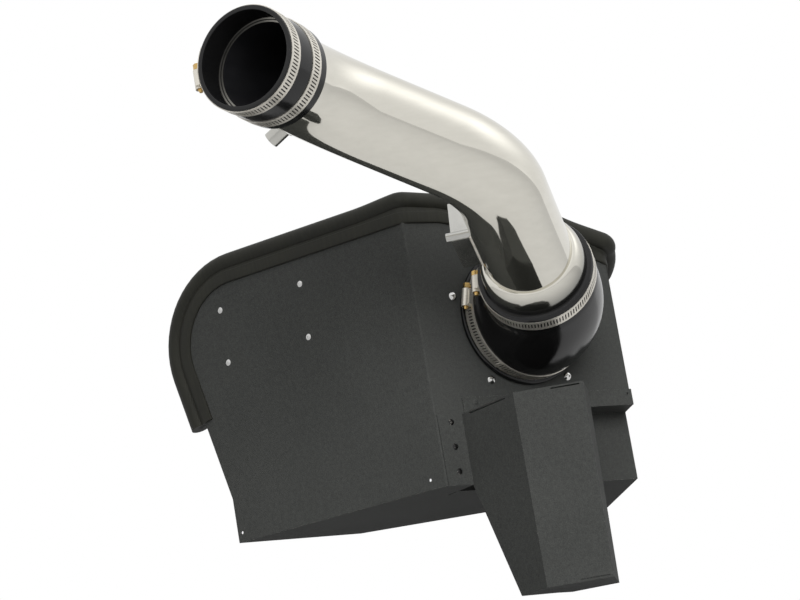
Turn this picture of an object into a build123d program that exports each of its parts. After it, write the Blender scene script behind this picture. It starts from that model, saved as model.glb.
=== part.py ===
from build123d import *
from math import cos, pi, radians, sin, tan
import os

os.makedirs("parts", exist_ok=True)

# Cold air intake: a bent alloy tube, rubber couplings and a folded steel filter box.
# Millimetres, +Z up, -Y is the face of the box that the tube plugs into.
# The origin lies on the underside of the box floor, behind the middle of the front panel.

# Sheet steel filter box
sheet = 1.5
bend_radius = 2.5
front_width = 244.5
front_setback = 100.0
corner_angle = 114.0
box_height = 285.0
left_length = 268.5
right_length = 230.0
upright_height = 47.0
rear_rake = 0.235
left_corner_radius = 76.0
right_corner_radius = 45.0
right_wall_height = 213.0
level_top = 44.0
knee_setback = 54.5
knee_height = 260.5
right_fold_height = 236.0
right_fall_run = 50.0
edge_bend = 30.0
notch_start = 39.0
notch_reach = 176.0
notch_depth = 158.0

# Recess under the front panel's right side
recess_start = 34.7
recess_depth = 37.0
recess_height = 73.6
pan_flange = 15.4
pan_hole_rise = 10.0
pan_edge_reach = 0.9
intake_width = 100.0
intake_height = 50.0
intake_radius = 12.0
intake_start = 52.0
intake_floor_gap = 11.0
pan_gap = 0.1
pan_rivet_starts = [50.0, 110.0]
pan_spare_hole_setback = 5.2
relief_slit_length = 15.0
relief_slit_width = 1.6

# Bonnet seal on the upper edges
seal_leg = 11.0
seal_leg_wall = 2.3
seal_bulb_radius = 9.5
seal_bulb_wall = 2.4
seal_bulb_rise = 12.0
seal_bulb_lean = 4.5
seal_cap = 2.0
seal_slot_clearance = 0.1
seal_end_height = 134.0

# Air scoop
scoop_sheet = 1.5
scoop_flange_width = 29.4
scoop_flange_height = 73.0
scoop_start = 30.7
scoop_top_gap = 0.1
scoop_drop = 124.0
scoop_reach = 89.0
scoop_lean = 6.3
scoop_front_angle = -32.9
scoop_front_top = 69.9
scoop_front_bottom = 66.0
scoop_side_angle = 50.7
scoop_side_top = 60.8
scoop_side_bottom = 62.0
scoop_heel = 47.3
scoop_slit = 1.4
scoop_front_slit_length = 29.0
scoop_front_slit_setback = 18.0
scoop_side_slit_length = 62.0
scoop_low_slit_depth = 1.0
scoop_bottom_return = 34.0
scoop_bottom_lip = 22.0
scoop_bottom_lip_slope = 4.0

# Intake tube
tube_diameter = 88.9
tube_wall = 1.65
first_bend_radius = 124.0
second_bend_radius = 95.0
mouth_left = 436.4
mouth_ahead = 375.6
mouth_height = 349.8
first_corner_left = 323.7
first_corner_ahead = 310.1
first_corner_height = 336.3
second_corner_left = 166.4
second_corner_ahead = 337.6
second_corner_height = 257.5
outlet_height = 171.0
elbow_corner_reach = 57.2
bell_setback = 97.5
bell_length = 23.0
bell_radius = 53.1
bell_tail = 35.0

# Rubber couplings
fit_gap = 0.05
throttle_coupling_length = 62.5
throttle_coupling_wall = 5.1
tube_insertion = 31.5
throttle_neck_radius = 45.0
throttle_rim_fillet = 1.4
elbow_wall_top = 5.5
elbow_wall_bottom = 4.5
elbow_mouth = 28.0
elbow_bead = 4.0
elbow_bead_width = 5.0
elbow_bead_fillet = 1.8
elbow_foot_gap = 1.0
elbow_straight = 20.0

# Worm drive clamps
band_thickness = 0.7
band_width = 14.0
band_gap = 0.05
clamp_overhang = 0.5
clamp_bead_gap = 0.9
clamp_seat_gap = 0.08
clamp_base_height = 6.4
clamp_base_share = 0.82
throttle_clamp_front_start = 2.0
throttle_clamp_rear_start = 37.5
elbow_clamp_upper_start = 34.5
filter_clamp_setback = 3.0
clamp_housing_length = 19.0
clamp_housing_wall = 1.2
clamp_screw_radius = 3.2
clamp_screw_clearance = 0.3
clamp_screw_lift = 0.5
clamp_tip_length = 2.4
clamp_tip_radius = 2.4
clamp_tip_end_radius = 1.6
clamp_slot_width = 1.1
clamp_slot_depth = 1.2
clamp_head_flats = 7.0
clamp_head_length = 5.5

# Outlet adapter and its screws
spigot_radius = 63.5
spigot_wall = 3.0
adapter_flange_radius = 76.5
adapter_ear_radius = 5.0
adapter_flange_thickness = 3.0
spigot_stop = 0.6
screw_circle_radius = 80.2
screw_count = 5
screw_radius = 2.5
screw_clearance = 0.15
screw_head_radius = 4.75
screw_head_height = 2.75
socket_flats = 3.0
socket_depth = 1.6
nut_flats = 8.0
nut_height = 5.0
nut_hex_height = 3.6
nut_collar_radius = 3.5
nut_bore_clearance = 0.03
screw_tip_length = 1.5
outlet_hole_clearance = 0.5

# Air filter
filter_wall = 4.5
filter_neck_length = 21.0
filter_neck_gap = 3.0
filter_base_radius = 90.0
filter_base_thickness = 12.0
filter_length = 135.0
filter_base_pleat_radius = 86.0
filter_tip_pleat_radius = 64.0
pleat_depth = 15.0
pleat_count = 48
pleat_offset = 4.4
filter_screen_wall = 0.8
filter_screen_gap = 0.6
filter_base_fillet = 3.0
filter_base_inset = 8.0
filter_groove_inset = 6.0
filter_groove_clearance = 0.3
filter_cap_thickness = 17.0
filter_cap_overlap = 3.0
filter_cap_rim = 4.0
filter_cap_fillet = 6.0
filter_cap_clearance = 0.5
filter_dish_radius = 42.0
filter_dish_depth = 2.5

# Rivets and side bracket
rivet_radius = 1.6
rivet_head_radius = 3.3
rivet_head_height = 1.1
rivet_tail_radius = 2.4
rivet_tail_height = 1.8
rivet_clearance = 0.05
rivet_mandrel_radius = 0.88
bracket_thickness = 2.0
bracket_margin = 12.5
bracket_tab = 28.0
bracket_hole_radius = 4.25
bracket_rivet_setback = 129.7
bracket_rivet_pitch = 107.9
bracket_rivet_height = 190.2
bracket_rivet_rise = 57.3
bracket_tab_share = 0.5
bracket_hole_share = 0.7
spare_hole_start = 19.0
spare_hole_setback = 5.5
spare_hole_rise = 10.0
scoop_rivet_count = 3
scoop_rivet_inset = 14.0
scoop_rivet_rise = 13.3
scoop_rivet_pitch = 25.5

# Breather nipple and sensor pad
nipple_radius = 7.95
nipple_wall = 1.5
nipple_length = 18.0
nipple_root = 14.0
nipple_distance = 128.0
nipple_angle = 243.0
nipple_collar_radius = 10.5
pad_distance = 57.7
pad_length = 52.0
pad_low = -4.0
pad_width = 44.0
pad_face = 65.0
pad_lug_radius = 4.5
pad_lug_rise = 4.5
pad_lug_inset = 5.0
pad_bore_radius = 11.5
pad_screw_radius = 1.9
pad_screw_depth = 8.0

UP = Vector(0, 0, 1)
front_y = -front_setback
half_front = front_width / 2
scoop_top = recess_height - sheet - scoop_top_gap
spigot_out = elbow_straight - spigot_stop
spigot_in = filter_neck_gap + filter_neck_length - spigot_stop


def save(node, *shapes):
    """Write the solids of one node to its STEP file."""
    solids = [solid for shape in shapes for solid in shape.solids()]
    export_step(solids[0] if len(solids) == 1 else Compound(children=solids), f"parts/{node}.step")


def along(direction):
    """A unit vector in plan at an angle in degrees from +X."""
    return Vector(cos(radians(direction)), sin(radians(direction)), 0)


def upright_plane(start, direction):
    """A vertical plane with its x along a plan direction and its y upwards."""
    return Plane(origin=start, x_dir=direction, z_dir=direction.cross(UP))


def axis_plane(start, direction):
    """A plane across an axis, with its x as near to upwards as it can be."""
    upward = (UP - direction * UP.dot(direction)).normalized()
    return Plane(origin=start, x_dir=upward, z_dir=direction)


def plate(points, thickness, inward):
    """A flat sheet through points in space, thickened towards a given side."""
    face = Face(Wire.make_polygon(points))
    normal = face.normal_at()
    side = 1 if normal.dot(inward) > 0 else -1
    return Solid.extrude(face, normal * side * thickness)


def ring(plane, outer, inner, start, length):
    """A tube around a plane's axis."""
    wall = Circle(outer) - Circle(inner)
    return extrude(plane * Pos(0, 0, start) * wall, length)


# Places that several pieces share
left_dir = along(corner_angle)
right_dir = along(180 - corner_angle)
front_dir = Vector(1, 0, 0)
left_fold = Vector(-half_front, front_y, 0)
right_fold = Vector(half_front, front_y, 0)
left_wall = upright_plane(left_fold, left_dir)
front_wall = upright_plane(left_fold, front_dir)
right_wall = upright_plane(right_fold, right_dir)
LEFT_IN, FRONT_IN, RIGHT_IN = 1, -1, -1

mouth = Vector(-mouth_left, -mouth_ahead, mouth_height)
corner_1 = Vector(-first_corner_left, -first_corner_ahead, first_corner_height)
corner_2 = Vector(-second_corner_left, -second_corner_ahead, second_corner_height)
elbow_corner = Vector(0, front_y - elbow_corner_reach, outlet_height)
leg_1 = (corner_1 - mouth).normalized()
leg_2 = (corner_2 - corner_1).normalized()
leg_3 = (elbow_corner - corner_2).normalized()
bell_start = elbow_corner - leg_3 * bell_setback
tube_radius = tube_diameter / 2
mouth_plane = axis_plane(mouth, leg_1)
bell_plane = axis_plane(bell_start, leg_3)
outlet_plane = Plane(origin=(0, front_y, outlet_height), x_dir=(0, 0, 1), z_dir=(0, 1, 0))


# Sheet outlines, in each wall's own plane
def edge_at(base, height):
    """Distance along a wall of its raked rear edge at a height."""
    return base + rear_rake * max(0, height - upright_height)


def rounded_outline(points, corners):
    """A sheet outline with a radius at each listed corner."""
    face = make_face(Polyline(*points, close=True))
    for (x, y), radius in corners:
        tip = face.vertices().sort_by_distance((x, y, 0))[0]
        face = fillet(tip, radius)
    return face


def left_outline():
    corner = (edge_at(left_length, box_height), box_height)
    points = [(0, 0), (left_length, 0), (left_length, upright_height), corner, (0, box_height)]
    return rounded_outline(points, [(corner, left_corner_radius)])


def front_outline():
    points = [
        (0, 0),
        (recess_start, 0),
        (recess_start, recess_height),
        (front_width, recess_height),
        (front_width, right_fold_height),
        (front_width - knee_setback, knee_height),
        (level_top, box_height),
        (0, box_height),
    ]
    return rounded_outline(points, [(points[5], edge_bend), (points[6], edge_bend)])


def right_outline():
    step = recess_depth / right_dir.Y
    corner = (edge_at(right_length, right_wall_height), right_wall_height)
    points = [
        (0, recess_height),
        (step, recess_height),
        (step, 0),
        (right_length, 0),
        (right_length, upright_height),
        corner,
        (right_fall_run, right_wall_height),
        (0, right_fold_height),
    ]
    return rounded_outline(points, [(corner, right_corner_radius), (points[6], edge_bend)])


def floor_outline():
    """Floor in plan: the recess is cut from its front, a diagonal notch from its back."""
    left_end = left_fold + left_dir * left_length
    right_end = right_fold + right_dir * right_length
    recess_side = right_fold + right_dir * (recess_depth / right_dir.Y)
    points = [
        (left_fold.X, front_y),
        (left_fold.X + recess_start, front_y),
        (left_fold.X + recess_start, front_y + recess_depth),
        (recess_side.X, recess_side.Y),
        (right_end.X, right_end.Y),
        (left_fold.X + notch_reach, front_y + notch_depth),
        (left_fold.X + notch_start, left_end.Y),
        (left_end.X, left_end.Y),
    ]
    return make_face(Polyline(*points, close=True))


bracket_rivet_start = left_length - bracket_rivet_setback
left_rivets = [
    (bracket_rivet_start + bracket_rivet_pitch * i, bracket_rivet_height + bracket_rivet_rise * j)
    for i in (0, 1)
    for j in (0, 1)
]
left_spare_holes = [
    (spare_hole_start, spare_hole_rise),
    (left_length - spare_hole_setback, spare_hole_rise),
]
scoop_rivets = [
    (scoop_start - scoop_rivet_inset, scoop_rivet_rise + scoop_rivet_pitch * i)
    for i in range(scoop_rivet_count)
]
pan_rivets = [(start, recess_height + pan_hole_rise) for start in pan_rivet_starts]
pan_spare_hole = (front_width - pan_spare_hole_setback, recess_height + pan_hole_rise)


def holes(plane, centres, radius, depth=8 * sheet):
    """Round cutters through a sheet, centred on its plane."""
    return [extrude(plane * Pos(x, y, -depth / 2) * Circle(radius), depth) for x, y in centres]


def make_filter_box():
    rivet_hole = rivet_radius + rivet_clearance
    left = extrude(left_wall * left_outline(), sheet * LEFT_IN)
    front = extrude(front_wall * front_outline(), sheet * FRONT_IN)
    right = extrude(right_wall * right_outline(), sheet * RIGHT_IN)
    floor = extrude(floor_outline(), sheet)
    side_x = left_fold.X + recess_start
    recess_side = Pos(side_x - sheet / 2, front_y + recess_depth / 2, recess_height / 2) * Box(
        sheet, recess_depth, recess_height
    )
    body = left + front + right + floor + recess_side
    folds = [
        edge
        for edge in body.edges().filter_by(Axis.Z)
        if min(
            abs(edge.center().X - half_front) + abs(edge.center().Y - front_y),
            abs(edge.center().X + half_front) + abs(edge.center().Y - front_y),
        )
        < 0.01
    ]
    body = fillet(folds, bend_radius)
    outlet_hole = Circle(spigot_radius + outlet_hole_clearance)
    cutters = [extrude(outlet_plane * Pos(0, 0, -sheet) * outlet_hole, sheet * 3)]
    screw_hole = Circle(screw_radius + screw_clearance)
    cutters += holes(left_wall, left_rivets + left_spare_holes, rivet_hole)
    cutters += holes(front_wall, scoop_rivets + pan_rivets, rivet_hole)
    cutters += [
        extrude(outlet_plane * Pos(*point, -sheet) * screw_hole, sheet * 3)
        for point in screw_points()
    ]
    slit_start = front_y + recess_depth
    slit = Pos(side_x - sheet / 2, slit_start + relief_slit_length / 2, sheet / 2)
    cutters.append(slit * Box(relief_slit_width, relief_slit_length, sheet * 2))
    slit_end = Pos(side_x - sheet / 2, slit_start + relief_slit_length, sheet / 2)
    cutters.append(slit_end * Cylinder(relief_slit_width, sheet * 2))
    return body - cutters


def screw_points():
    """Screw places around the outlet: the first straight above it."""
    step = 2 * pi / screw_count
    return [
        (screw_circle_radius * cos(step * i), screw_circle_radius * sin(step * i))
        for i in range(screw_count)
    ]


def make_recess_pan():
    """Front flange, ceiling and set-back wall, folded from one sheet."""

    def right_at(y):
        return half_front + (y - front_y) * right_dir.X / right_dir.Y

    start = left_fold.X + recess_start
    outer_y = front_y - sheet
    wall_y = front_y + recess_depth
    inner_y = wall_y - sheet
    ceiling_z = recess_height - sheet
    flange_end = half_front + pan_edge_reach
    outer_end = right_at(outer_y) + pan_edge_reach
    wall_end = right_at(inner_y) - pan_gap
    flange = plate(
        [
            Vector(start, front_y, ceiling_z),
            Vector(flange_end, front_y, ceiling_z),
            Vector(flange_end, front_y, recess_height + pan_flange),
            Vector(start, front_y, recess_height + pan_flange),
        ],
        sheet,
        Vector(0, -1, 0),
    )
    ceiling = plate(
        [
            Vector(start, outer_y, ceiling_z),
            Vector(outer_end, outer_y, ceiling_z),
            Vector(right_at(wall_y) - pan_gap, wall_y, ceiling_z),
            Vector(start, wall_y, ceiling_z),
        ],
        sheet - pan_gap / 2,
        UP,
    )
    back = plate(
        [
            Vector(start, inner_y, 0),
            Vector(wall_end, inner_y, 0),
            Vector(wall_end, inner_y, ceiling_z),
            Vector(start, inner_y, ceiling_z),
        ],
        sheet - pan_gap / 2,
        Vector(0, 1, 0),
    )
    pan = Part() + flange + ceiling + back
    window = RectangleRounded(intake_width, intake_height, intake_radius)
    window_centre = Vector(
        left_fold.X + intake_start + intake_width / 2,
        inner_y,
        intake_floor_gap + intake_height / 2,
    )
    window_plane = Plane(origin=window_centre, x_dir=(1, 0, 0), z_dir=(0, -1, 0))
    pan = pan - extrude(window_plane * Pos(0, 0, -sheet * 2) * window, sheet * 4)
    rivet_hole = rivet_radius + rivet_clearance
    return pan - holes(front_wall, pan_rivets + [pan_spare_hole], rivet_hole)


def fold_slit(centre, way, length, depth):
    """Cutter for a round-ended slit in an upright sheet, beside one of its folds."""
    place = Plane(origin=centre, x_dir=way, z_dir=way.cross(UP))
    return extrude(place * SlotOverall(length, scoop_slit), depth, both=True)


def make_scoop():
    """Left, front and right panels with a cap above and below, open at the back."""
    t = scoop_sheet
    heel = Vector(left_fold.X + scoop_start, front_y, 0)
    nose = heel + Vector(scoop_lean, -scoop_reach, 0)
    front_way = along(scoop_front_angle)
    side_way = along(scoop_side_angle)
    low = Vector(0, 0, -scoop_drop)
    high = Vector(0, 0, scoop_top)
    nose_low = nose + low
    nose_high = nose + high
    tip_high = nose_high + front_way * scoop_front_top
    tip_low = nose_low + front_way * scoop_front_bottom
    end_high = tip_high + side_way * scoop_side_top
    end_low = tip_low + side_way * scoop_side_bottom
    heel_low = heel + (nose - heel) * (scoop_heel / scoop_reach) + low
    inside = (nose + tip_high + end_high + heel) * 0.25
    left = plate([heel, heel + high, nose_high, nose_low, heel_low], t, inside - nose)
    front = plate([nose_high, tip_high, tip_low, nose_low], t, inside - nose)
    right = plate([tip_high, end_high, end_low, tip_low], t, inside - tip_high)
    back_high = Vector(end_high.X, front_y, scoop_top)
    top = plate([heel + high, nose_high, tip_high, end_high, back_high], t, Vector(0, 0, -1))
    lip_right = end_low + Vector(-scoop_bottom_return, scoop_bottom_return, 0)
    lip_left = lip_right + Vector(-scoop_bottom_lip, -scoop_bottom_lip_slope, 0)
    bottom = plate([heel_low, nose_low, tip_low, end_low, lip_right, lip_left], t, UP)
    flange_start = heel - Vector(scoop_flange_width, 0, 0)
    foot = Vector(0, 0, scoop_top - scoop_flange_height)
    over = Vector(t, 0, 0)
    flange_corners = [flange_start + foot, heel + over + foot, heel + over + high, flange_start + high]
    flange = plate(flange_corners, t, Vector(0, -1, 0))
    body = Part() + left + front + right + top + bottom + flange
    behind_box = Box(6 * scoop_reach, 2 * scoop_reach, 6 * scoop_reach)
    behind = Pos(heel.X, front_y + scoop_reach, 0) * behind_box
    body = body - behind
    side_way_in = (nose - heel).normalized()
    below_cap = high - Vector(0, 0, t + scoop_slit / 2)
    body -= fold_slit(
        nose + below_cap + front_way * (scoop_front_top - scoop_front_slit_setback),
        front_way,
        scoop_front_slit_length,
        2 * t,
    )
    body -= fold_slit(
        (heel + nose) * 0.5 + below_cap, side_way_in, scoop_side_slit_length, 2 * t
    )
    body -= fold_slit(
        nose_low + front_way * (scoop_front_bottom - scoop_front_slit_setback) + UP * (t + scoop_slit / 2),
        front_way,
        scoop_front_slit_length,
        scoop_low_slit_depth,
    )
    return body - holes(front_wall, scoop_rivets, rivet_radius + rivet_clearance)


def blind_rivet(place, grip):
    """A domed head on the plane, a shank through the grip and an upset tail behind it."""
    dome_radius = (rivet_head_radius**2 + rivet_head_height**2) / (2 * rivet_head_height)
    dome = Pos(0, 0, rivet_head_height - dome_radius) * Sphere(dome_radius)
    head = dome & Pos(0, 0, rivet_head_height / 2) * Cylinder(rivet_head_radius, rivet_head_height)
    head = head - Pos(0, 0, rivet_head_height) * Cylinder(rivet_mandrel_radius, rivet_head_height)
    shank = Pos(0, 0, -grip / 2) * Cylinder(rivet_radius, grip)
    tail = Pos(0, 0, -grip - rivet_tail_height / 2) * Cylinder(rivet_tail_radius, rivet_tail_height)
    return place * (head + shank + tail)


def make_side_bracket():
    """Plate riveted inside the left wall, with a tab bent in at its lower edge."""
    low = bracket_rivet_height - bracket_margin
    width = bracket_rivet_pitch + 2 * bracket_margin
    height = bracket_rivet_rise + 2 * bracket_margin
    middle = bracket_rivet_start + bracket_rivet_pitch / 2
    back_place = left_wall * Pos(middle, low + height / 2, sheet)
    back = extrude(back_place * Rectangle(width, height), bracket_thickness)
    tab_face = Rectangle(width * bracket_tab_share, bracket_thickness)
    tab_start = left_wall * Pos(middle, low + bracket_thickness / 2, sheet)
    tab = extrude(tab_start * tab_face, bracket_tab)
    hole_reach = sheet + bracket_tab * bracket_hole_share
    hole_centre = left_fold + left_dir * middle + left_wall.z_dir * hole_reach
    hole = Pos(hole_centre.X, hole_centre.Y, low) * Cylinder(bracket_hole_radius, bracket_thickness * 4)
    cutters = holes(left_wall, left_rivets, rivet_radius + rivet_clearance, 8 * bracket_thickness)
    return back + tab - hole - cutters


def seal_section(hollow):
    """Edge trim profile: a channel that grips the sheet and a hollow bulb leaning inward above it."""
    half_slot = sheet / 2 + seal_slot_clearance
    half_leg = half_slot + seal_leg_wall
    bulb_place = Pos(seal_bulb_lean, seal_bulb_rise)
    if hollow:
        return bulb_place * Circle(seal_bulb_radius - seal_bulb_wall)
    leg_length = seal_leg + seal_cap
    leg = Pos(0, seal_cap - leg_length / 2) * Rectangle(2 * half_leg, leg_length)
    neck_corners = [
        (-half_leg, 0),
        (half_leg, 0),
        (seal_bulb_lean + half_leg, seal_bulb_rise),
        (seal_bulb_lean - half_leg, seal_bulb_rise),
    ]
    neck = make_face(Polyline(*neck_corners, close=True))
    slot = Pos(0, -seal_leg / 2) * Rectangle(2 * half_slot, seal_leg)
    return leg + neck + bulb_place * Circle(seal_bulb_radius) - slot


def seal_run(wall, inward, path):
    """The trim along one wall's edge, its slot on the middle of the sheet."""
    middle = wall * Pos(0, 0, inward * sheet / 2)
    route = middle * path
    start = route.position_at(0)
    tangent = route.tangent_at(0)
    out = wall.z_dir
    upward = out.cross(tangent)
    if upward.dot(seal_outward(wall, path)) < 0:
        upward = upward * -1
        out = out * -1
    plane = Plane(origin=start, x_dir=tangent.cross(upward) * -1, z_dir=tangent)
    section = plane * seal_section(hollow=False)
    core = plane * seal_section(hollow=True)
    return sweep(section, path=route) - sweep(core, path=route)


def seal_outward(wall, path):
    """Direction away from the sheet at the start of an edge path."""
    tangent = path.tangent_at(0)
    away = Vector(-tangent.Y, tangent.X, 0)
    if away.Y < 0 or (abs(away.Y) < abs(away.X) and away.X < 0):
        away = away * -1
    return wall.from_local_coords(away) - wall.from_local_coords(Vector(0, 0, 0))


def mitre(shape, fold, keep_dir, other_dir):
    """Keep the part of a run that lies on its own wall's side of a fold."""
    normal = (keep_dir - other_dir).normalized()
    cutter = Plane(origin=fold, z_dir=normal)
    return split(shape, bisect_by=cutter, keep=Keep.TOP)


def make_seal():
    over = sheet + 2 * seal_bulb_radius
    left_top = edge_at(left_length, box_height)
    left_path = FilletPolyline(
        (edge_at(left_length, seal_end_height), seal_end_height),
        (left_top, box_height),
        (-over, box_height),
        radius=left_corner_radius,
    )
    front_slope = (knee_height - right_fold_height) / knee_setback
    front_path = FilletPolyline(
        (-over, box_height),
        (level_top, box_height),
        (front_width - knee_setback, knee_height),
        (front_width + over, right_fold_height - over * front_slope),
        radius=edge_bend,
    )
    right_top = edge_at(right_length, right_wall_height)
    right_slope = (right_fold_height - right_wall_height) / right_fall_run
    right_path = FilletPolyline(
        (-over, right_fold_height + over * right_slope),
        (right_fall_run, right_wall_height),
        (right_top, right_wall_height),
        (edge_at(right_length, seal_end_height), seal_end_height),
        radius=[edge_bend, right_corner_radius],
    )
    left = mitre(seal_run(left_wall, LEFT_IN, left_path), left_fold, left_dir, front_dir)
    front = seal_run(front_wall, FRONT_IN, front_path)
    front = mitre(front, left_fold, front_dir, left_dir)
    front = mitre(front, right_fold, front_dir * -1, right_dir)
    right = seal_run(right_wall, RIGHT_IN, right_path)
    right = mitre(right, right_fold, right_dir, front_dir * -1)
    return left + front + right


def tube_body(radius):
    """A round bar along the tube's route, from inside the throttle coupling to the bell."""
    start = mouth + leg_1 * tube_insertion
    bends = [first_bend_radius, second_bend_radius]
    route = FilletPolyline(start, corner_1, corner_2, bell_start, radius=bends)
    return sweep(Plane(origin=start, z_dir=leg_1) * Circle(radius), path=route)


def make_intake_tube():
    outer = tube_body(tube_radius)
    inner = tube_body(tube_radius - tube_wall)
    outer_bell = bell_body(0)
    inner_bell = bell_body(tube_wall)
    cut = [inner, inner_bell, pad_bore(pad_face + pad_lug_rise), nipple_body(nipple_radius - nipple_wall, 0)]
    return outer + outer_bell - cut


def bell_body(wall):
    """The spun end of the tube: a rounded shoulder and a straight tail, solid inside."""
    reach = bell_length - wall * 0.5
    step = bell_radius - tube_radius
    shoulder = EllipticalCenterArc(
        (bell_length, tube_radius - wall), reach, step, start_angle=90, arc_size=90
    )
    top = bell_radius - wall
    rest = Polyline(
        (bell_length, top),
        (bell_length + bell_tail + wall, top),
        (bell_length + bell_tail + wall, 0),
        (bell_length - reach, 0),
        (bell_length - reach, tube_radius - wall),
    )
    if wall == 0:
        rest = Polyline(
            (bell_length, top),
            (bell_length + bell_tail, top),
            (bell_length + bell_tail, 0),
            (0, 0),
            (0, tube_radius),
        )
    profile = make_face(shoulder + rest)
    axis_view = Plane(origin=bell_start, x_dir=leg_3, z_dir=bell_plane.y_dir)
    return revolve(axis_view * profile, Axis(bell_start, leg_3))


def nipple_frame():
    """Place and direction of the breather nipple, on the far side of the first bend."""
    angle = radians(nipple_angle)
    axis = mouth_plane.x_dir * cos(angle) + mouth_plane.y_dir * sin(angle)
    return mouth + leg_1 * nipple_distance + axis * tube_radius, axis


def nipple_body(radius, extra):
    """A round bar from inside the tube to the nipple's end."""
    base, axis = nipple_frame()
    plane = Plane(origin=base - axis * nipple_root, z_dir=axis)
    return extrude(plane * Circle(radius), nipple_root + nipple_length + extra)


def make_nipple():
    """Hose stub with a welded collar at its foot."""
    base, axis = nipple_frame()
    stub = nipple_body(nipple_radius, 0)
    collar_plane = Plane(origin=base - axis * nipple_root, z_dir=axis)
    collar = extrude(collar_plane * Circle(nipple_collar_radius), nipple_root)
    bore = nipple_body(nipple_radius - nipple_wall, 1)
    return stub + collar - bore - tube_body(tube_radius)


def pad_plane():
    """Sensor pad frame on the last leg: x up, y towards the tube's right, z down the leg."""
    return axis_plane(bell_start - leg_3 * pad_distance, leg_3)


def pad_bore(depth):
    plane = pad_plane()
    centre = plane.from_local_coords(Vector(pad_low + pad_width / 2, 0, pad_length / 2))
    return extrude(Plane(origin=centre, z_dir=plane.y_dir * -1) * Circle(pad_bore_radius), depth)


def make_sensor_pad():
    plane = pad_plane()
    block = plane * Pos(pad_low + pad_width / 2, -pad_face / 2, pad_length / 2) * Box(
        pad_width, pad_face, pad_length
    )
    facing = plane.y_dir * -1
    body = block
    for across, down in pad_lug_places():
        centre = plane.from_local_coords(Vector(across, 0, down))
        body += extrude(Plane(origin=centre, z_dir=facing) * Circle(pad_lug_radius), pad_face + pad_lug_rise)
    for across, down in pad_lug_places():
        centre = plane.from_local_coords(Vector(across, -pad_face + pad_screw_depth, down))
        screw_plane = Plane(origin=centre, z_dir=facing)
        body -= extrude(screw_plane * Circle(pad_screw_radius), pad_screw_depth + pad_lug_rise)
    tube = extrude(plane * Pos(0, 0, -pad_length) * Circle(tube_radius), 3 * pad_length)
    body = body - tube - pad_bore(pad_face + pad_lug_rise)
    half = plane * Pos(0, pad_face, pad_length / 2) * Box(4 * pad_face, 2 * pad_face, 3 * pad_length)
    return body - half


def pad_lug_places():
    """Screw lugs on two opposite corners of the pad."""
    low = pad_low + pad_lug_inset
    high = pad_low + pad_width - pad_lug_inset
    return [(low, 0), (high, pad_length)]


def make_throttle_coupling():
    """Straight sleeve: its front half takes the throttle body's neck, its rear half the tube."""
    outer = tube_radius + fit_gap + throttle_coupling_wall
    front = ring(mouth_plane, outer, throttle_neck_radius, 0, tube_insertion)
    rear_length = throttle_coupling_length - tube_insertion
    rear = ring(mouth_plane, outer, tube_radius + fit_gap, tube_insertion, rear_length)
    body = front + rear
    rims = body.edges().filter_by(GeomType.CIRCLE)
    outer_rims = [edge for edge in rims if edge.radius > outer - fit_gap]
    return fillet(outer_rims, throttle_rim_fillet)


def elbow_sections(top_radius, bottom_radius, steps=7):
    """Circles around the bend, growing smoothly from the top to the bottom radius."""
    turn = leg_3.get_angle(Vector(0, 1, 0))
    tangent_length = elbow_corner_reach - elbow_straight
    bend = tangent_length / tan(radians(turn / 2))
    start = elbow_corner - leg_3 * tangent_length
    hinge = leg_3.cross(Vector(0, 1, 0)).normalized()
    centre = start + hinge.cross(leg_3) * bend
    sections = []
    for i in range(steps):
        share = i / (steps - 1)
        smooth = share * share * (3 - 2 * share)
        radius = top_radius + (bottom_radius - top_radius) * smooth
        spot = (start - centre).rotate(Axis((0, 0, 0), hinge), turn * share) + centre
        way = leg_3.rotate(Axis((0, 0, 0), hinge), turn * share)
        sections.append(Plane(origin=spot, x_dir=hinge, z_dir=way) * Circle(radius))
    return start, sections


def elbow_body(top_radius, bottom_radius, extra):
    """Straight mouth, swept bend and straight foot, solid inside."""
    start, sections = elbow_sections(top_radius, bottom_radius)
    mouth_start = bell_start + leg_3 * (elbow_mouth - extra)
    mouth_length = (start - mouth_start).length
    top = extrude(Plane(origin=mouth_start, z_dir=leg_3) * Circle(top_radius), mouth_length)
    foot_length = elbow_straight - elbow_foot_gap + extra
    foot = extrude(outlet_plane * Pos(0, 0, -elbow_straight) * Circle(bottom_radius), foot_length)
    return top + loft(sections) + foot


def make_elbow():
    bore_top = bell_radius + fit_gap
    bore_bottom = spigot_radius + fit_gap
    outer = elbow_body(bore_top + elbow_wall_top, bore_bottom + elbow_wall_bottom, 0)
    bead_radius = bore_bottom + elbow_wall_bottom + elbow_bead
    bead_start = -elbow_foot_gap - elbow_bead_width
    bead = extrude(outlet_plane * Pos(0, 0, bead_start) * Circle(bead_radius), elbow_bead_width)
    bead = fillet(bead.edges().filter_by(GeomType.CIRCLE), elbow_bead_fillet)
    return outer + bead - elbow_body(bore_top, bore_bottom, 1)


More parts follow.
